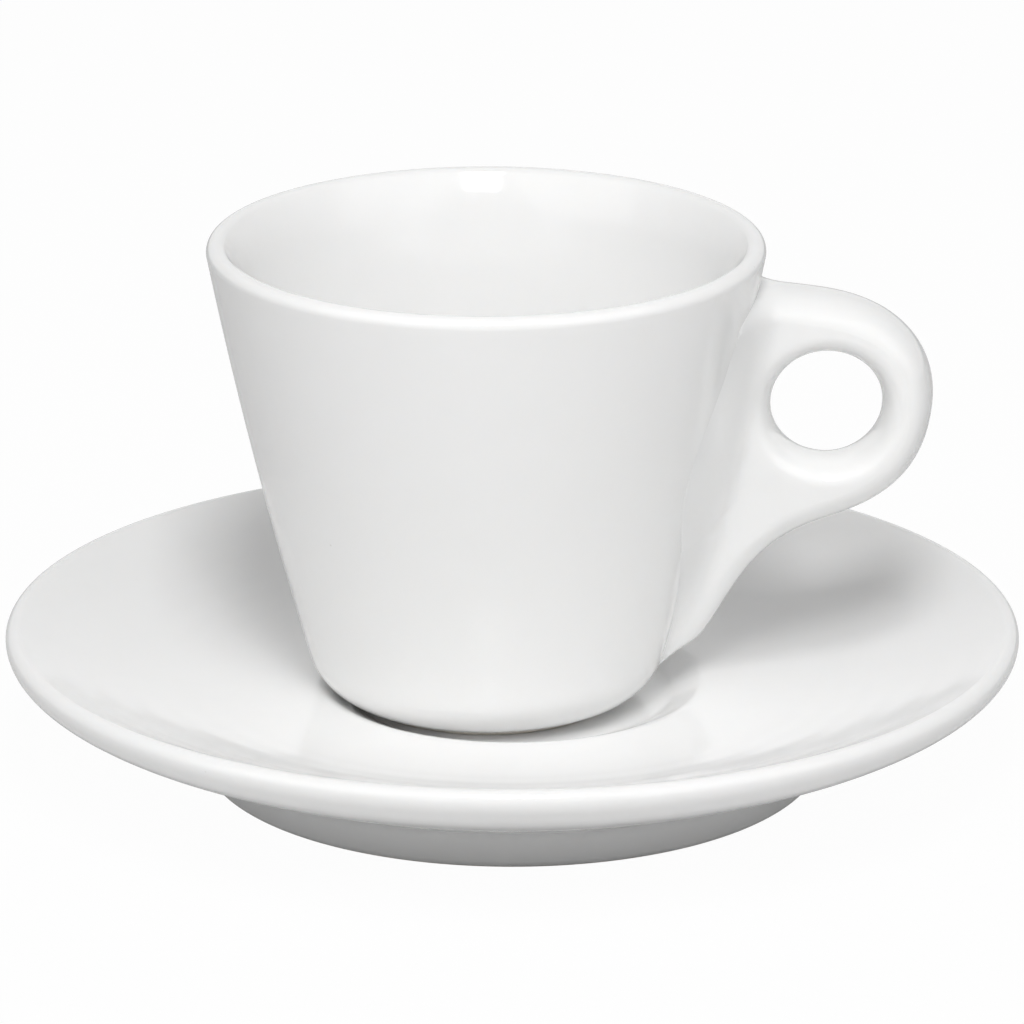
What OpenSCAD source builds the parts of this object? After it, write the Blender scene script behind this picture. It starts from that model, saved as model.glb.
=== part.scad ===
// Espresso cup with saucer in glazed porcelain.
// The saucer stands on the table at the origin, and the cup stands in its well.
// The cup's bowl is turned. Its handle is cast by itself and joined to the wall with slip.

/* [Saucer] */
// Outside diameter of the saucer
saucer_d = 120; // [112:1:150]
// Height of the rim above the table
saucer_h = 18.1; // [16:0.1:24]
// Rounding of the rim's top edge
rim_round = 1.25; // [1:0.05:2]
// Rounding of the rim's underside
rim_under = 3; // [2:0.1:4]
// Outside diameter of the foot ring where it touches the table
saucer_foot_d = 71; // [56:0.2:84]
// Width of the foot ring
saucer_foot_w = 3.6; // [3:0.1:6]
// Rounding of the foot ring's edges
saucer_foot_round = 1.2; // [0.5:0.1:1.4]
// Outward swell of the underside between foot and rim, below 0 where it is hollow
saucer_swell = -0.15; // [-0.5:0.05:1.5]
// Thickness of the saucer under the cup
saucer_floor_t = 4.5; // [3:0.1:5.5]
// Rise of the hollow's ceiling from its flat middle to the foot ring
hollow_rise = 1.4; // [0:0.1:2]
// Rounding between the hollow's ceiling and the foot ring
hollow_round = 1.5; // [0.5:0.1:2]
// Slope of the dish where it reaches the rim, in degrees
dish_slope = 27; // [22:1:35]

/* [Well] */
// Height of the well's floor above the table
well_floor_h = 8.7; // [7:0.1:10]
// Height of the ridge above the well's floor
well_depth = 2.1; // [1.8:0.1:4]
// Clearance between the ridge and the cup on the side where the cup leans to it
well_clearance = 0.7; // [0.6:0.05:3]
// Distance of the cup's axis from the saucer's axis
cup_shift = 3.05; // [0:0.05:4]

/* [Cup] */
// Outside diameter at the lip
cup_rim_d = 65.4; // [60:0.2:75]
// Height from foot to lip
cup_h = 56.2; // [54:0.1:66]
// Thickness of the rounded lip
lip_t = 2.4; // [2:0.1:3.4]
// Radius of the flare inside the lip
lip_flare = 14; // [6:0.5:18]
// Lean of the inside where the flare meets the lip, in degrees from upright
lip_lean = 35; // [25:1:42]
// Outside diameter of the base across its rounded corner
base_d = 42.5; // [40:0.1:48]
// Rounding of the base's outer corner
base_round = 7; // [5:0.1:8.5]
// Outward swell of the wall between base and lip
wall_swell = 0.55; // [0:0.05:1.2]
// Thickness of the wall low in the cup
wall_t = 4; // [3:0.1:5.5]
// Thickness of the cup's floor
floor_t = 4; // [3:0.1:6]
// Rounding inside between floor and wall
bowl_round = 10; // [6:0.1:12]
// Outside diameter of the foot ring
cup_foot_d = 30; // [26:0.2:32]
// Width of the foot ring
cup_foot_w = 2.6; // [2:0.1:4]
// Height of the foot ring below the base
cup_foot_h = 0.6; // [0.6:0.1:2]
// Rounding of the foot ring's edges
cup_foot_round = 0.5; // [0.2:0.1:0.5]

/* [Handle] */
// Diameter of the finger hole
hole_d = 13.2; // [11:0.1:18]
// Web between the wall and the finger hole
hole_web = 4.5; // [4:0.1:8]
// Thickness of the handle, front to back
handle_t = 11; // [8:0.1:13]
// Width of the band over the finger hole
band_over = 6.9; // [6:0.1:9]
// Width of the band outside the finger hole
band_side = 5.9; // [5.5:0.1:9]
// Width of the band under the finger hole
band_under = 7.5; // [6:0.1:9]
// Distance of the handle's top edge below the lip, at the wall
handle_drop = 5.2; // [4.5:0.1:8]
// Rise of the top edge from above the finger hole to the wall
top_rise = 1; // [0:0.1:2]
// Height of the fin's toe above the cup's foot
toe_h = 4; // [3.5:0.1:8]
// Height of the fin's heel above its toe
heel_rise = 3.8; // [2:0.1:5]
// Distance that the fin stands out from the wall at its heel
heel_out = 4; // [2.5:0.1:5.5]
// Thickness of the fin at its toe
toe_t = 5; // [3:0.1:8]
// Depth of the rounding on the handle's outer edge
edge_round = 3; // [2:0.1:3]
// Depth of the rounding on the finger hole's edge
hole_round = 2.6; // [2:0.1:3]
// Widening of the handle on each side where its top edge meets the wall
root_flare = 6; // [2:0.1:8]
// Widening of the fin on each side where it meets the wall below the finger hole
fin_flare = 10; // [2:0.1:11]
// Distance from the wall at which the widening starts
flare_reach = 3; // [1.5:0.1:4]
// Thickness of the slip between handle and wall
slip_t = 0.06; // [0.06:0.01:0.2]

/* [Hidden] */
$fn = 128;

porcelain = "#f4f4f2";
// Steps in each curve of the turned outlines
turn_steps = 12;
// Steps in a small edge rounding
edge_steps = 4;

// Point on a circle at an angle
function on_circle(centre, r, angle) = centre + r * [cos(angle), sin(angle)];

// Points along an arc between two angles, with or without the first
function arc(centre, r, from, to, steps = turn_steps, first = 0) =
    [for (i = [first:steps]) on_circle(centre, r, from + (to - from) * i / steps)];

// Point on a curve with one control point
function quad_at(q, t) = (1 - t) * (1 - t) * q[0] + 2 * t * (1 - t) * q[1] + t * t * q[2];

// Point on a curve with two control points
function cubic_at(c, t) =
    let (s = 1 - t)
    s * s * s * c[0] + 3 * s * s * t * c[1] + 3 * s * t * t * c[2] + t * t * t * c[3];

// Tilt of the straight side that touches a low and a high circle on their outside
function side_tilt(low, low_r, high, high_r) =
    atan2(high[0] - low[0], high[1] - low[1]) - asin((low_r - high_r) / norm(high - low));

// Side that leaves the low circle, swells outwards and runs into the high circle
function side_curve(low, low_r, high, high_r, swell) =
    let (
        tilt = side_tilt(low, low_r, high, high_r),
        turn = atan(4 * swell / norm(high - low)),
        start = on_circle(low, low_r, -tilt - turn),
        end = on_circle(high, high_r, turn - tilt),
        run = end - start,
        outward = [run[1], -run[0]] / norm(run)
    )
    [start, (start + end) / 2 + 2 * swell * outward, end];

// Inner points of a side, without its two ends
function side_points(q) = [for (i = [1:turn_steps - 1]) quad_at(q, i / turn_steps)];

// Angle at which a point on a circle lies
function angle_on(centre, p) = atan2(p[1] - centre[1], p[0] - centre[0]);

// Radius of a side curve at a height
function side_r(q, z) =
    let (
        a = q[0][1] - 2 * q[1][1] + q[2][1],
        b = 2 * (q[1][1] - q[0][1]),
        c = z - q[0][1]
    )
    quad_at(q, 2 * c / (b + sqrt(b * b + 4 * a * c)))[0];

// Cup outline, with heights above the cup's foot
lip_r = lip_t / 2;
lip_centre = [cup_rim_d / 2 - lip_r, cup_h - lip_r];
base_centre = [base_d / 2 - base_round, cup_foot_h + base_round];
cup_side = side_curve(base_centre, base_round, lip_centre, lip_r, wall_swell);

// Outside radius of the cup at a height
function cup_r(z) =
    z > cup_side[0][1]
        ? side_r(cup_side, z)
        : base_centre[0] + sqrt(base_round * base_round - pow(base_centre[1] - z, 2));

floor_h = cup_foot_h + floor_t;
bowl_h = floor_h + bowl_round;
bowl_centre = [cup_r(bowl_h) - wall_t - bowl_round, bowl_h];
lip_end = 180 - lip_lean;
flare_centre = on_circle(lip_centre, lip_r - lip_flare, lip_end);
bowl_tilt = side_tilt(bowl_centre, bowl_round, flare_centre, -lip_flare);

cup_foot_r = cup_foot_d / 2;
cup_foot_in = cup_foot_r - cup_foot_w;
foot_on_corner = cup_foot_r > base_centre[0];
corner_start = foot_on_corner ? -acos((cup_foot_r - base_centre[0]) / base_round) : -90;

cup_outline = concat(
    [[0, cup_foot_h], [cup_foot_in, cup_foot_h]],
    arc([cup_foot_in + cup_foot_round, cup_foot_round], cup_foot_round, 180, 270, edge_steps),
    arc([cup_foot_r - cup_foot_round, cup_foot_round], cup_foot_round, -90, 0, edge_steps),
    foot_on_corner ? [] : [[cup_foot_r, cup_foot_h]],
    arc(base_centre, base_round, corner_start, angle_on(base_centre, cup_side[0])),
    side_points(cup_side),
    arc(lip_centre, lip_r, angle_on(lip_centre, cup_side[2]), lip_end),
    arc(flare_centre, lip_flare, lip_end, 180 - bowl_tilt, edge_steps, first = 1),
    arc(bowl_centre, bowl_round, -bowl_tilt, -90),
    [[0, floor_h]]
);

// Saucer outline, with heights above the table
rim_centre = [saucer_d / 2 - rim_round, saucer_h - rim_round];
roll_centre = [saucer_d / 2 - rim_under, rim_centre[1]];
// Angle on the rim where the dish runs into it
rim_join = 90 + dish_slope;
saucer_foot_r = saucer_foot_d / 2;
saucer_foot_in = saucer_foot_r - saucer_foot_w;
foot_edge = [saucer_foot_r - saucer_foot_round, saucer_foot_round];
under_side = side_curve(foot_edge, saucer_foot_round, roll_centre, rim_under, saucer_swell);

well_floor_r = cup_foot_r + cup_shift + well_clearance;
ridge_r = cup_r(well_depth) + cup_shift + well_clearance;
ridge_h = well_floor_h + well_depth;
hollow_h = well_floor_h - saucer_floor_t;
hollow_edge_h = hollow_h + hollow_rise;

// Shares of its width over which the well's wall runs level at the floor and at the ridge
floor_level = 0.3;
crest_level = 0.1;
well_wall_w = ridge_r - well_floor_r;
well_wall = [
    [well_floor_r, well_floor_h],
    [well_floor_r + floor_level * well_wall_w, well_floor_h],
    [ridge_r - crest_level * well_wall_w, ridge_h],
    [ridge_r, ridge_h]
];

// Shares of the dish's width over which it leaves the ridge level and meets the rim straight
ridge_level = 0.1;
rim_straight = 0.56;
dish_end = on_circle(rim_centre, rim_round, rim_join);
dish_w = dish_end[0] - ridge_r;
dish = [
    [ridge_r, ridge_h],
    [ridge_r + ridge_level * dish_w, ridge_h],
    on_circle(dish_end, -rim_straight * dish_w, dish_slope),
    dish_end
];

saucer_outline = concat(
    [[0, hollow_h], [well_floor_r, hollow_h]],
    arc([saucer_foot_in - hollow_round, hollow_edge_h - hollow_round], hollow_round, 90, 0, edge_steps),
    arc([saucer_foot_in + saucer_foot_round, saucer_foot_round], saucer_foot_round, 180, 270, edge_steps),
    arc(foot_edge, saucer_foot_round, -90, angle_on(foot_edge, under_side[0]), edge_steps),
    side_points(under_side),
    arc(roll_centre, rim_under, angle_on(roll_centre, under_side[2]), 0),
    arc(rim_centre, rim_round, 0, rim_join, first = 1),
    [for (i = [turn_steps - 1:-1:0]) cubic_at(dish, i / turn_steps)],
    [for (i = [turn_steps - 1:-1:0]) cubic_at(well_wall, i / turn_steps)],
    [[0, well_floor_h]]
);

// Handle, in the cup's own middle plane, with x from the cup's axis
hole_r = hole_d / 2;
top_h = cup_h - handle_drop;
hole_h = top_h - top_rise - band_over - hole_r;
hole_x = cup_r(hole_h) + hole_web + hole_r;
hole_centre = [hole_x, hole_h];
heel_h = toe_h + heel_rise;

// Point on the wall's slip at a height
function on_slip(z) = [cup_r(z) + slip_t, z];

// Stations round the free edge: a point, and the heading of the edge there in degrees
stations = [
    [on_slip(top_h), -7],
    [hole_centre + [0, hole_r + band_over], -9],
    [hole_centre + [hole_r + band_side, 0], -95],
    [hole_centre - [0, hole_r + band_under], -163],
    [[cup_r(heel_h) + heel_out, heel_h], -126],
    [on_slip(toe_h), -141]
];
// Pull of the curve at the start and the end of each span, as a share of the span
pulls = [[0.33, 0.33], [0.45, 0.38], [0.46, 0.36], [0.46, 0.3], [0.15, 0.35]];
// Steps in each span
span_steps = [12, 12, 12, 10, 4];
// Step of the fourth span at which the fin starts
fin_start = 3;
// Steps along the root above the fin
root_steps = 14;
// Steps across the handle's thickness, across its face to the finger hole, and across the fin
layer_steps = 16;
face_steps = 8;
fin_steps = 6;

// Curve of a span between two stations
function span_curve(k) =
    let (
        from = stations[k],
        to = stations[k + 1],
        length = norm(to[0] - from[0])
    )
    [
        from[0],
        on_circle(from[0], pulls[k][0] * length, from[1]),
        on_circle(to[0], -pulls[k][1] * length, to[1]),
        to[0]
    ];

// Share of a span at a step: the first span has closer steps at the wall
function span_share(k, i) =
    let (u = i / span_steps[k])
    k == 0 ? u * u : u;

// Direction from a place on a span's curve into the handle
function inward_at(c, t) =
    let (
        s = 1 - t,
        run = s * s * (c[1] - c[0]) + 2 * s * t * (c[2] - c[1]) + t * t * (c[3] - c[2])
    )
    [run[1], -run[0]] / norm(run);

// Least width of the face between the outer edge's rounding and the finger hole's
face_min = 0.5;
// From this span on, the fin's width limits its rounding
fin_span = 2;
// Share of the fin's width that its rounding may take
fin_share = 0.6;

// Depth of the outer edge's rounding at a point of a span
function round_depth(k, p) =
    let (
        band = norm(p - hole_centre) - hole_r,
        fin = k < fin_span ? band : fin_share * (p[0] - on_slip(p[1])[0])
    )
    min(edge_round, band - hole_round - face_min, fin);

// Free edge in the middle plane, from the wall down to the toe: a point, its inward
// direction and the depth of its rounding
last_span = len(span_steps) - 1;
free_edge = [
    for (k = [0:last_span])
        for (i = [0:span_steps[k] - (k == last_span ? 0 : 1)])
            let (
                curve = span_curve(k),
                t = span_share(k, i),
                p = cubic_at(curve, t)
            )
            [p, inward_at(curve, t), round_depth(k, p)]
];
toe = len(free_edge) - 1;
fin_top = span_steps[0] + span_steps[1] + span_steps[2] + fin_start;

// Smooth rise from 0 to 1
function ease(u) = let (v = max(0, min(1, u))) v * v * (3 - 2 * v);

// Half thickness of the handle at a height
function fin_growth(z) = ease((z - toe_h) / (hole_h - toe_h));
function half_t(z) = (toe_t + (handle_t - toe_t) * fin_growth(z)) / 2;

// Widening at the wall, at a height: it is widest level with the finger hole's lower edge
flare_h = hole_h - hole_r;
function flare_w(z) =
    z < flare_h
        ? fin_flare * ease((z - toe_h) / (flare_h - toe_h))
        : root_flare + (fin_flare - root_flare) * ease((top_h - z) / (top_h - flare_h));

// Share of a quarter round that the widening takes, which leaves its edge at the wall blunt
flare_share = 0.97;
function flare_rise(u) = 1 - sqrt(1 - pow(flare_share * u, 2));
function flare_at(d, z) = flare_w(z) * flare_rise(1 - min(1, d / flare_reach)) / flare_rise(1);

// Point of the handle above a place in its middle plane: side runs from -1 at the front
// to 1 at the back, and near the wall the place bends round the cup
function place(p, side) =
    let (
        d = max(0, p[0] - on_slip(p[1])[0]),
        y = side * (half_t(p[1]) + flare_at(d, p[1])),
        bend = pow(1 - min(1, d / (2 * flare_reach)), 2)
    )
    [p[0] - bend * (p[0] - sqrt(p[0] * p[0] - y * y)), y, p[1]];
function places(row, side) = [for (p = row) place(p, side)];

// Middle-plane place of a point of the free edge on a layer, drawn in by the edge's rounding
function edge_place(i, angle) =
    let (
        e = free_edge[i],
        p = e[0] + e[2] * (1 - cos(angle)) * e[1]
    )
    i == 0 || i == toe ? on_slip(p[1]) : p;

// Heights of the root along the fin, level with the free edge on the face
fin_heights = [for (i = [toe - 1:-1:fin_top]) edge_place(i, 90)[1]];
root_low = fin_heights[len(fin_heights) - 1];

// Loop of places on a layer: the free edge down to the toe, then the root up along the wall
function outer_loop(angle) =
    let (root_high = edge_place(0, angle)[1])
    concat(
        [for (i = [0:toe]) edge_place(i, angle)],
        [for (z = fin_heights) on_slip(z)],
        [for (i = [1:root_steps - 1]) on_slip(root_low + (root_high - root_low) * i / root_steps)]
    );
outer = outer_loop(90);

// Row of places across the fin's face from the free edge to the wall, closer at the wall
function fin_row(i) = [
    for (k = [0:fin_steps])
        let (s = pow(1 - k / fin_steps, 2))
        outer[i] * s + outer[2 * toe - i] * (1 - s)
];

// Outer edge of the face round the finger hole: it crosses the fin at the fin's top
face_edge = concat(
    [for (i = [0:fin_top - 1]) outer[i]],
    fin_row(fin_top),
    [for (i = [2 * toe - fin_top + 1:len(outer) - 1]) outer[i]]
);

// Loop of places on the finger hole's edge on a layer, each facing a place on the outer edge
function hole_loop(angle) = [
    for (p = face_edge)
        on_circle(hole_centre, hole_r + hole_round * (1 - cos(angle)), angle_on(hole_centre, p))
];
hole_edge = hole_loop(90);

// Power that draws the loops on a face closer to its outer edge
face_crowd = 1.6;
function face_loop(j) =
    let (t = pow(j / face_steps, face_crowd))
    face_edge * (1 - t) + hole_edge * t;

// Grids of points over the handle, and whether their rows close: the outer edge, the front
// face, the finger hole, the back face, and the fin's front and back
layers = [for (j = [0:layer_steps]) 90 - 180 * j / layer_steps];
grids = [
    [true, [for (a = layers) places(outer_loop(a), sin(a))]],
    [true, [for (j = [0:face_steps]) places(face_loop(j), -1)]],
    [true, [for (j = [layer_steps:-1:0]) places(hole_loop(layers[j]), sin(layers[j]))]],
    [true, [for (j = [face_steps:-1:0]) places(face_loop(j), 1)]],
    [false, [for (i = [toe:-1:fin_top]) places(fin_row(i), -1)]],
    [false, [for (i = [fin_top:toe]) places(fin_row(i), 1)]]
];

// Number of a grid's first point
function first_of(g) = g == 0 ? 0 : first_of(g - 1) + len(grids[g - 1][1]) * len(grids[g - 1][1][0]);

handle_points = [for (g = grids) for (row = g[1]) each row];
handle_triangles = [
    for (g = [0:len(grids) - 1])
        let (rows = len(grids[g][1]), cols = len(grids[g][1][0]))
        for (j = [0:rows - 2])
            for (i = [0:cols - (grids[g][0] ? 1 : 2)])
                let (
                    a = first_of(g) + j * cols + i,
                    b = first_of(g) + j * cols + (i + 1) % cols
                )
                each [[a, b, b + cols], [a, b + cols, a + cols]]
];
// The fin's rows end in one point at the toe, and the triangles without area there are left out
handle_faces = [
    for (f = handle_triangles)
        let (p = handle_points[f[0]], q = handle_points[f[1]], r = handle_points[f[2]])
        if (p != q && q != r && r != p) f
];

module saucer() {
    color(porcelain) rotate_extrude() polygon(saucer_outline);
}

module on_saucer() {
    translate([-cup_shift, 0, well_floor_h]) children();
}

module cup_body() {
    color(porcelain) on_saucer() rotate_extrude() polygon(cup_outline);
}

module cup_handle() {
    color(porcelain) on_saucer() polyhedron(handle_points, handle_faces);
}

saucer();
cup_body();
cup_handle();
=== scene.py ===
"""Glazed porcelain espresso cup on its saucer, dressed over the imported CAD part."""
import math

import bmesh
import bpy
import numpy as np
from mathutils import Euler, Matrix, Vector


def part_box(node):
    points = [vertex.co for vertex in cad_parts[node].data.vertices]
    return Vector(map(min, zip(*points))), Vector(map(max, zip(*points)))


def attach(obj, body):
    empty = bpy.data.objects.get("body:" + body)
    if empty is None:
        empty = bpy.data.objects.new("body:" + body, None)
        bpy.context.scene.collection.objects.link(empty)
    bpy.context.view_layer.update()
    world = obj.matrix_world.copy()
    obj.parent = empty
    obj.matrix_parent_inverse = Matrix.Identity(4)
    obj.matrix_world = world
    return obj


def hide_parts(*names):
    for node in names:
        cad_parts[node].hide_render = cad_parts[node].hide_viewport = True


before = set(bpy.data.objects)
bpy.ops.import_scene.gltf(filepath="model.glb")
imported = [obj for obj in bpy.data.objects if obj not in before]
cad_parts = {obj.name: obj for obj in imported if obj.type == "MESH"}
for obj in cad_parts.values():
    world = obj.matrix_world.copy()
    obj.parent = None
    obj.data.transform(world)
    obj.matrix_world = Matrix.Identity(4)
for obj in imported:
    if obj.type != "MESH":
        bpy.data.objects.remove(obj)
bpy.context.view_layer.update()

MM = 0.001

# The cup's axis lies between the left and right edges of its turned body.
cup_low, cup_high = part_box("cup_body")
CUP_AXIS_X = (cup_low.x + cup_high.x) / 2
SAUCER_AXIS_X = 0.0


# Turned pieces: the saucer and the cup's body

# Points this close in radius and height lie on one ring of a turned solid.
RING_GAP = 0.02 * MM
# A sharper turn than this is a real corner, and a rounder one gets a point for each fine turn.
SHARP_TURN = math.radians(40)
FINE_TURN = math.radians(5)
# A run this many times as long as the next one is straight.
LONG_RUN = 3


def turned_outline(solid, axis_x):
    """Outline of a turned solid as radius and height, from the middle of its underside to the middle
    of its top."""
    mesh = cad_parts[solid].data
    places = np.array([v.co for v in mesh.vertices])
    places = np.stack([np.hypot(places[:, 0] - axis_x, places[:, 1]), places[:, 2]], 1)
    rings = places[:1]
    ring_of = np.zeros(len(places), int)
    for i, place in enumerate(places):
        gaps = np.abs(rings - place).max(1)
        ring_of[i] = gaps.argmin()
        if gaps.min() > RING_GAP:
            ring_of[i] = len(rings)
            rings = np.vstack([rings, place])
    beside = [set() for _ in rings]
    for edge in mesh.edges:
        a, b = ring_of[list(edge.vertices)]
        if a != b:
            beside[a].add(b)
            beside[b].add(a)
    ends = [k for k, near in enumerate(beside) if len(near) == 1]
    walk = [min(ends, key=lambda k: rings[k][1])]
    while True:
        onward = [k for k in beside[walk[-1]] if k not in walk]
        if not onward:
            break
        walk.append(onward[0])
    line = rings[walk]
    return np.vstack([[0, line[0][1]], line, [0, line[-1][1]]])


def rounded_outline(outline, spacing):
    """The outline with its arcs made round. Long straight runs and sharp corners stay as they are."""
    runs = outline[1:] - outline[:-1]
    lengths = np.linalg.norm(runs, axis=1)
    ways = runs / lengths[:, None]
    leave, arrive = ways.copy(), ways.copy()
    for k in range(1, len(ways)):
        before, after = lengths[k - 1], lengths[k]
        if ways[k - 1] @ ways[k] < math.cos(SHARP_TURN):
            continue
        if before > LONG_RUN * after:
            way = ways[k - 1]
        elif after > LONG_RUN * before:
            way = ways[k]
        else:
            way = ways[k - 1] * after + ways[k] * before
        leave[k] = arrive[k - 1] = way / np.linalg.norm(way)
    points = []
    for k, length in enumerate(lengths):
        turn = math.acos(min(1, max(-1, leave[k] @ arrive[k])))
        count = max(math.ceil(length / spacing), math.ceil(turn / FINE_TURN))
        for t in np.arange(count) / count:
            s = 1 - t
            points.append(
                s * s * (1 + 2 * t) * outline[k] + t * t * (3 - 2 * t) * outline[k + 1]
                + length * s * t * (s * leave[k] - t * arrive[k])
            )
    points.append(outline[-1])
    return np.array(points)


# The saucer's underside, as radius and height: it curves in from the rim's edge to a crease above the
# foot ring, and the ring's wall comes down from the crease and rounds in to the table.
EDGE_DROP = 2.8 * MM
UNDER_BEND = np.array([55.5, 12.1]) * MM
UNDER_END = np.array([48.0, 9.15]) * MM
FOOT_CREASE = np.array([39.2, 5.6]) * MM
CREASE_REACH = 1.6 * MM
FOOT_RADIUS = 37.2 * MM
FOOT_ROUND = 2.5 * MM
FOOT_LEAN = math.radians(60)

# The well's gently sloping side, from its ridge in the dish to the floor under the cup.
WELL_RIDGE = np.array([22.7, 10.8]) * MM
WELL_BOTTOM = np.array([18.45, 8.7]) * MM
WELL_REACH = 0.8 * MM

TURN_POINTS = 8
UNDER_POINTS = 16


def bend(corners, count):
    """Smooth line from the first corner to the last, drawn towards the corners between."""
    t = np.linspace(0, 1, count)[:, None]
    while len(corners) > 1:
        corners = [(1 - t) * a + t * b for a, b in zip(corners, corners[1:])]
    return corners[0]


def eased(before, corner, after, reach):
    """Rounded turn at a corner between two straight runs, over the same length of both."""
    start, end = [corner + reach * (p - corner) / np.linalg.norm(p - corner) for p in (before, after)]
    return bend([start, corner, end], TURN_POINTS)


def finished_saucer(outline):
    """The saucer's outline with a curved underside, a rounded foot wall and a gentle slope into the well."""
    flat = np.flatnonzero(outline[:, 1] < RING_GAP)[0]
    edge = outline[:, 0].argmax()
    turns = np.linspace(0, FOOT_LEAN, TURN_POINTS) - math.pi / 2
    wall = [FOOT_RADIUS - FOOT_ROUND, FOOT_ROUND] + FOOT_ROUND * np.stack([np.cos(turns), np.sin(turns)], 1)
    crease = eased(wall[-1], FOOT_CREASE, UNDER_END, CREASE_REACH)
    under = bend([UNDER_END, UNDER_BEND, outline[edge] - [0, EDGE_DROP], outline[edge]], UNDER_POINTS)
    dish, middle = outline[edge + 1 :], outline[-1]
    dish = dish[dish[:, 0] > WELL_RIDGE[0] + WELL_REACH]
    ridge = eased(dish[-1], WELL_RIDGE, WELL_BOTTOM, WELL_REACH)
    bottom = eased(WELL_RIDGE, WELL_BOTTOM, middle, WELL_REACH)
    return np.vstack([outline[: flat + 1], wall, crease, under, dish, ridge, bottom, [middle]])


def turned_piece(name, outline, axis_x, spacing, sectors):
    """Mesh of a turned outline: four-sided faces round its axis, and a point at each end of the line."""
    line = rounded_outline(outline, spacing)
    low, rings, high = line[0], line[1:-1], line[-1]
    angles = np.arange(sectors) * math.tau / sectors
    points = [(axis_x, 0, low[1])]
    for r, z in rings:
        points += [(axis_x + r * math.cos(a), r * math.sin(a), z) for a in angles]
    points.append((axis_x, 0, high[1]))
    top, last = len(points) - 1, 1 + (len(rings) - 1) * sectors
    faces = []
    for i in range(sectors):
        j = (i + 1) % sectors
        faces.append((0, 1 + j, 1 + i))
        for k in range(len(rings) - 1):
            row = 1 + k * sectors
            faces.append((row + i, row + j, row + sectors + j, row + sectors + i))
        faces.append((top, last + i, last + j))
    mesh = bpy.data.meshes.new(name)
    mesh.from_pydata(points, [], faces)
    mesh.shade_smooth()
    mesh.set_sharp_from_angle(angle=SHARP_TURN)
    piece = bpy.data.objects.new(name, mesh)
    bpy.context.scene.collection.objects.link(piece)
    return piece


SAUCER_STEP, SAUCER_SECTORS = 1.4 * MM, 240
CUP_STEP, CUP_SECTORS = 1.1 * MM, 192

saucer_line = finished_saucer(turned_outline("saucer", SAUCER_AXIS_X))
cup_line = turned_outline("cup_body", CUP_AXIS_X)
saucer = turned_piece("saucer_glazed", saucer_line, SAUCER_AXIS_X, SAUCER_STEP, SAUCER_SECTORS)
cup = turned_piece("cup_body_glazed", cup_line, CUP_AXIS_X, CUP_STEP, CUP_SECTORS)


# Cast handle

# Faces this close to the wall are the handle's root. It sinks into the glaze, less and less over its reach.
ROOT_GAP = 0.1 * MM
ROOT_DEPTH = 0.16 * MM
ROOT_REACH = 1.2 * MM
WELD_GAP = 0.001 * MM
PAIR_ANGLE = math.radians(60)


def wall_radius(line):
    """Function from a height to the outside radius of the cup's wall."""
    outside = line[: line[:, 1].argmax() + 1]
    outside = outside[outside[:, 0] >= outside[:, 0].max() / 2]
    return lambda z: np.interp(z, outside[:, 1], outside[:, 0])


def handle_piece(name, solid):
    """The handle's faces joined in pairs and rounded, with its root drawn into the wall's glaze."""
    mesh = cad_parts[solid].data.copy()
    mesh.name = name
    mesh.materials.clear()
    if mesh.has_custom_normals:
        mesh.normals_split_custom_set_from_vertices([(0, 0, 0)] * len(mesh.vertices))
    bm = bmesh.new()
    bm.from_mesh(mesh)
    bmesh.ops.remove_doubles(bm, verts=bm.verts, dist=WELD_GAP)
    bmesh.ops.join_triangles(
        bm, faces=bm.faces, angle_face_threshold=PAIR_ANGLE, angle_shape_threshold=PAIR_ANGLE
    )
    for edge in bm.edges:
        edge.smooth = True
    radius = wall_radius(cup_line)
    crease = bm.edges.layers.float.get("crease_edge") or bm.edges.layers.float.new("crease_edge")
    gap = {v: math.hypot(v.co.x - CUP_AXIS_X, v.co.y) - radius(v.co.z) for v in bm.verts}
    for edge in bm.edges:
        rooted = [all(gap[v] < ROOT_GAP for v in face.verts) for face in edge.link_faces]
        if any(rooted) and not all(rooted):
            edge[crease] = 1
    for vert in bm.verts:
        depth = ROOT_DEPTH * max(0, 1 - gap[vert] / ROOT_REACH) ** 2
        share = 1 - depth / (gap[vert] + radius(vert.co.z))
        vert.co.x = CUP_AXIS_X + (vert.co.x - CUP_AXIS_X) * share
        vert.co.y *= share
    bm.to_mesh(mesh)
    bm.free()
    mesh.shade_smooth()
    piece = bpy.data.objects.new(name, mesh)
    bpy.context.scene.collection.objects.link(piece)
    rounding = piece.modifiers.new("rounding", "SUBSURF")
    rounding.levels = rounding.render_levels = 1
    return piece


handle = handle_piece("cup_handle_glazed", "cup_handle")


# Materials

def linear(hex_colour):
    """Linear colour of an sRGB hex value."""
    parts = [int(hex_colour[i : i + 2], 16) / 255 for i in (1, 3, 5)]
    return [p / 12.92 if p <= 0.04045 else ((p + 0.055) / 1.055) ** 2.4 for p in parts] + [1]


def node(tree, kind, settings=(), links=()):
    """A node with its settings and the links into it."""
    made = tree.nodes.new(kind)
    for key, value in dict(settings).items():
        if isinstance(key, str) and hasattr(made, key):
            setattr(made, key, value)
        else:
            made.inputs[key].default_value = value
    for key, source in dict(links).items():
        tree.links.new(source, made.inputs[key])
    return made


def new_material(name):
    """An empty node material and its tree."""
    material = bpy.data.materials.new(name)
    material.use_nodes = True
    material.node_tree.nodes.clear()
    return material, material.node_tree


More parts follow.
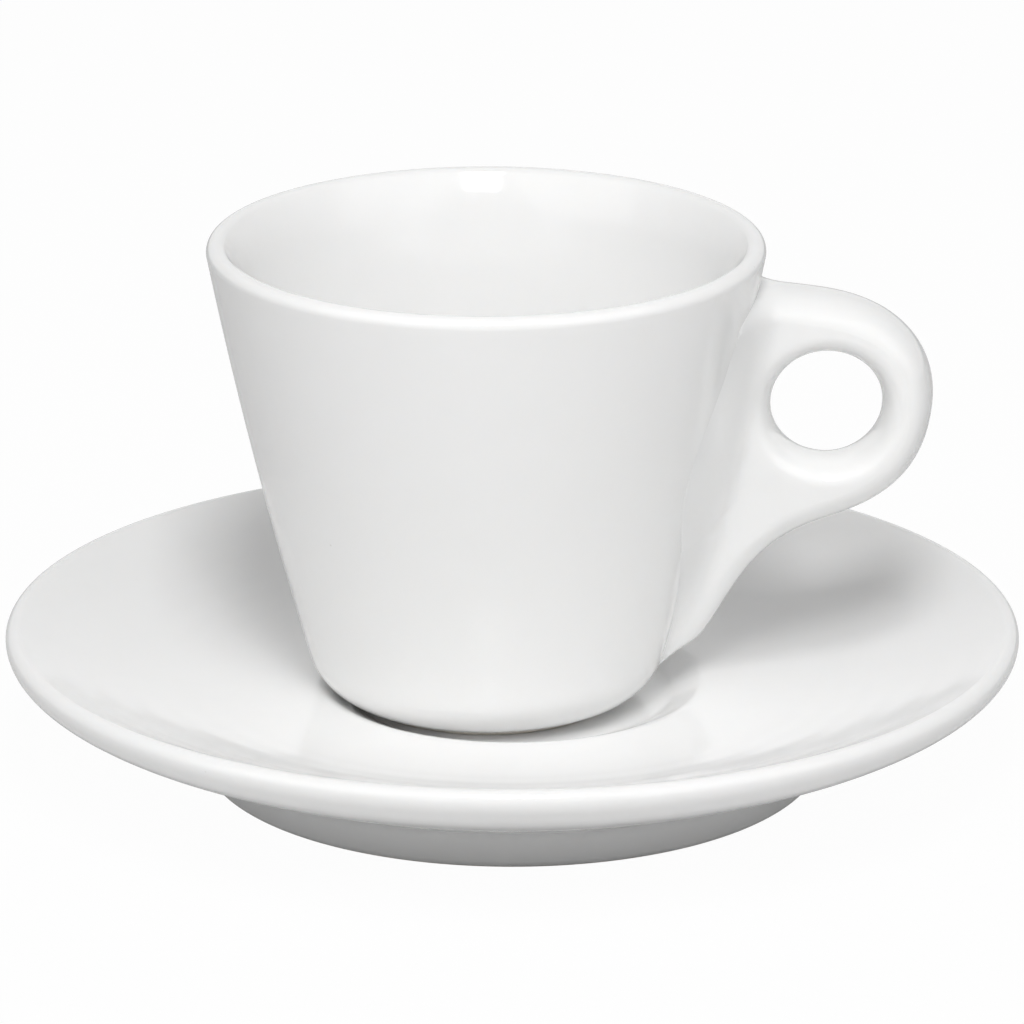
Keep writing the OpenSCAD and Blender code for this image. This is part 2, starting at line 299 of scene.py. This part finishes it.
def glazed_porcelain():
    """White porcelain under a clear fired glaze: a cool white body, a mirror-like skin that waves
    a little as the glaze flowed, and a few pale pinholes."""
    material, tree = new_material("glazed_porcelain")
    place = node(tree, "ShaderNodeTexCoord").outputs["Object"]
    cloud = node(tree, "ShaderNodeTexNoise", {"Scale": 1 / (28 * MM), "Detail": 3}, {"Vector": place})
    body = node(
        tree, "ShaderNodeMix", {"data_type": "RGBA", 6: linear("#f3f3f2"), 7: linear("#f6f6f6")},
        {0: cloud.outputs["Fac"]},
    )
    cell = 7 * MM
    pits = node(tree, "ShaderNodeTexVoronoi", {"Scale": 1 / cell}, {"Vector": place})
    pit_size = node(
        tree, "ShaderNodeMapRange",
        {"From Min": 0.22 * MM / cell, "From Max": 0.1 * MM / cell, "To Max": 0.5},
        {"Value": pits.outputs["Distance"]},
    )
    chance = node(tree, "ShaderNodeSeparateColor", links={"Color": pits.outputs["Color"]})
    chosen = node(
        tree, "ShaderNodeMath", {"operation": "LESS_THAN", 1: 0.12}, {0: chance.outputs["Red"]}
    )
    pit = node(
        tree, "ShaderNodeMath", {"operation": "MULTIPLY"},
        {0: pit_size.outputs["Result"], 1: chosen.outputs["Value"]},
    )
    colour = node(
        tree, "ShaderNodeMix", {"data_type": "RGBA", 7: linear("#cdc9c3")},
        {0: pit.outputs["Value"], 6: body.outputs[2]},
    )
    flow = node(tree, "ShaderNodeTexNoise", {"Scale": 1 / (11 * MM), "Detail": 1}, {"Vector": place})
    peel = node(tree, "ShaderNodeTexNoise", {"Scale": 1 / (2.2 * MM), "Detail": 2}, {"Vector": place})
    flow_bump = node(
        tree, "ShaderNodeBump", {"Strength": 1, "Distance": 0.05 * MM}, {"Height": flow.outputs["Fac"]}
    )
    peel_bump = node(
        tree, "ShaderNodeBump", {"Strength": 1, "Distance": 0.005 * MM},
        {"Height": peel.outputs["Fac"], "Normal": flow_bump.outputs["Normal"]},
    )
    pit_bump = node(
        tree, "ShaderNodeBump", {"Strength": 1, "Distance": 0.04 * MM, "invert": True},
        {"Height": pit.outputs["Value"], "Normal": peel_bump.outputs["Normal"]},
    )
    gloss = node(
        tree, "ShaderNodeMapRange", {"To Min": 0.06, "To Max": 0.12}, {"Value": cloud.outputs["Fac"]}
    )
    skin = node(
        tree, "ShaderNodeBsdfPrincipled",
        {
            "IOR": 1.52, "Subsurface Weight": 0.12, "Subsurface Radius": (1.0, 0.9, 0.8),
            "Subsurface Scale": 1.2 * MM,
        },
        {
            "Base Color": colour.outputs[2], "Roughness": gloss.outputs["Result"],
            "Normal": pit_bump.outputs["Normal"],
        },
    )
    node(tree, "ShaderNodeOutputMaterial", links={"Surface": skin.outputs["BSDF"]})
    return material


def unglazed_bisque():
    """Fired clay with the glaze wiped off where a foot stood in the kiln: dry, fine grained and a
    little warmer than the glaze, with grey rub marks from use."""
    material, tree = new_material("unglazed_bisque")
    place = node(tree, "ShaderNodeTexCoord").outputs["Object"]
    # The real grain of about 0.1 mm is drawn at 0.35 mm so that it shows.
    grain = node(tree, "ShaderNodeTexNoise", {"Scale": 1 / (0.35 * MM), "Detail": 3}, {"Vector": place})
    rub = node(tree, "ShaderNodeTexNoise", {"Scale": 1 / (9 * MM), "Detail": 5}, {"Vector": place})
    rubbed = node(
        tree, "ShaderNodeMapRange", {"From Min": 0.5, "From Max": 0.72}, {"Value": rub.outputs["Fac"]}
    )
    clay = node(
        tree, "ShaderNodeMix", {"data_type": "RGBA", 6: linear("#e4ddd2"), 7: linear("#efe9df")},
        {0: grain.outputs["Fac"]},
    )
    colour = node(
        tree, "ShaderNodeMix", {"data_type": "RGBA", 7: linear("#c4c0ba")},
        {0: rubbed.outputs["Result"], 6: clay.outputs[2]},
    )
    bump = node(
        tree, "ShaderNodeBump", {"Strength": 0.8, "Distance": 0.05 * MM}, {"Height": grain.outputs["Fac"]}
    )
    dry = node(
        tree, "ShaderNodeBsdfPrincipled", {"Roughness": 0.85, "IOR": 1.5},
        {"Base Color": colour.outputs[2], "Normal": bump.outputs["Normal"]},
    )
    node(tree, "ShaderNodeOutputMaterial", links={"Surface": dry.outputs["BSDF"]})
    return material


glaze = glazed_porcelain()
bisque = unglazed_bisque()
for piece in (saucer, cup, handle):
    piece.data.materials.append(glaze)

# The glaze is wiped off the lowest part of each foot ring.
WIPED = 0.45 * MM
for piece in (saucer, cup):
    piece.data.materials.append(bisque)
    floor_z = min(v.co.z for v in piece.data.vertices)
    for face in piece.data.polygons:
        if max(piece.data.vertices[i].co.z for i in face.vertices) < floor_z + WIPED:
            face.material_index = 1

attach(saucer, "saucer")
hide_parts("saucer")
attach(cup, "cup")
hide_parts("cup_body")
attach(handle, "cup")
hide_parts("cup_handle")


# Studio: pale floor, white background, soft lamps, camera

def seen_straight(tree):
    """1 for what the camera sees directly, in a reflection or through glass, and 0 for lighting."""
    path = node(tree, "ShaderNodeLightPath")
    first = node(
        tree, "ShaderNodeMath", {"operation": "MAXIMUM"},
        {0: path.outputs["Is Camera Ray"], 1: path.outputs["Is Glossy Ray"]},
    )
    return node(
        tree, "ShaderNodeMath", {"operation": "MAXIMUM"},
        {0: first.outputs["Value"], 1: path.outputs["Is Transmission Ray"]},
    ).outputs["Value"]


# Share of plain white in the floor as the camera sees it, and as a reflection shows it.
CARD_SEEN, CARD_REFLECTED = 0.97, 0.1
WHITE = linear("#ffffff")


def matt_white_card():
    """Matt white table. To the eye it is nearly pure white, with the part's soft shadow on it, and a
    reflection shows it a little paler than the lamps make it."""
    material, tree = new_material("matt_white_card")
    card = node(tree, "ShaderNodeBsdfDiffuse", {"Color": linear("#e4e4e4")})
    white = node(tree, "ShaderNodeEmission", {"Color": WHITE, "Strength": 1.0})
    path = node(tree, "ShaderNodeLightPath")
    pale = node(
        tree, "ShaderNodeMapRange", {"To Min": CARD_REFLECTED, "To Max": CARD_SEEN},
        {"Value": path.outputs["Is Camera Ray"]},
    )
    share = node(
        tree, "ShaderNodeMath", {"operation": "MULTIPLY"}, {0: pale.outputs["Result"], 1: seen_straight(tree)}
    )
    seen = node(
        tree, "ShaderNodeMixShader",
        links={0: share.outputs["Value"], 1: card.outputs["BSDF"], 2: white.outputs["Emission"]},
    )
    node(tree, "ShaderNodeOutputMaterial", links={"Surface": seen.outputs["Shader"]})
    return material


def studio_floor(size):
    """Square floor under the part."""
    mesh = bpy.data.meshes.new("studio_floor")
    half = size / 2
    corners = [(-half, -half, 0), (half, -half, 0), (half, half, 0), (-half, half, 0)]
    mesh.from_pydata(corners, [], [(0, 1, 2, 3)])
    mesh.materials.append(matt_white_card())
    floor = bpy.data.objects.new("studio_floor", mesh)
    bpy.context.scene.collection.objects.link(floor)


FLOOR_SIZE = 4.0
LAMP_AIM = Vector((0, 0, 0.03))
LAMP_DISTANCE = 0.9
# Power in watts, side in metres, then turn and height in degrees
SOFTBOXES = {
    "high_softbox": (2.0, 0.2, 2, 60),
    "front_softbox": (2.2, 0.2, 2, 45),
    "left_softbox": (1.55, 0.8, -50, 36),
    "right_softbox": (1.2, 0.8, 52, 34),
}
AMBIENT = 0.28


def softbox(name, power, side, turn, height):
    """Soft square lamp facing the part, turned from the front to the right and raised."""
    lamp = bpy.data.lights.new(name, "AREA")
    lamp.energy = power
    lamp.shape = "SQUARE"
    lamp.size = side
    box = bpy.data.objects.new(name, lamp)
    bpy.context.scene.collection.objects.link(box)
    way = Euler((math.radians(-height), 0, math.radians(turn))).to_matrix() @ Vector((0, -1, 0))
    box.location = LAMP_AIM + LAMP_DISTANCE * way
    box.rotation_euler = (-way).to_track_quat("-Z", "Y").to_euler()


studio_floor(FLOOR_SIZE)
for name, values in SOFTBOXES.items():
    softbox(name, *values)

# The world lights the part a little from all round, and is white to the eye and in reflections.
world = bpy.data.worlds.new("studio")
bpy.context.scene.world = world
world.use_nodes = True
sky = world.node_tree
sky.nodes.clear()
strength = node(
    sky, "ShaderNodeMapRange", {"To Min": AMBIENT, "To Max": 1.0}, {"Value": seen_straight(sky)}
)
light = node(sky, "ShaderNodeBackground", {"Color": WHITE}, {"Strength": strength.outputs["Result"]})
node(sky, "ShaderNodeOutputWorld", links={"Surface": light.outputs["Background"]})

# The view fitted to the photograph's outlines. The lens and sensor are in millimetres.
VIEW_HEIGHT = math.radians(18.15)
VIEW_DISTANCE = 0.9
VIEW_AIM = (-0.00003, 0, 0.0314)
lens = bpy.data.cameras.new("camera")
lens.sensor_width = 36
lens.lens = 268
camera = bpy.data.objects.new("camera", lens)
bpy.context.scene.collection.objects.link(camera)
camera.location = (
    VIEW_AIM[0],
    VIEW_AIM[1] - VIEW_DISTANCE * math.cos(VIEW_HEIGHT),
    VIEW_AIM[2] + VIEW_DISTANCE * math.sin(VIEW_HEIGHT),
)
camera.rotation_euler = (math.pi / 2 - VIEW_HEIGHT, 0, 0)
bpy.context.scene.camera = camera
bpy.context.scene.view_settings.view_transform = "Standard"
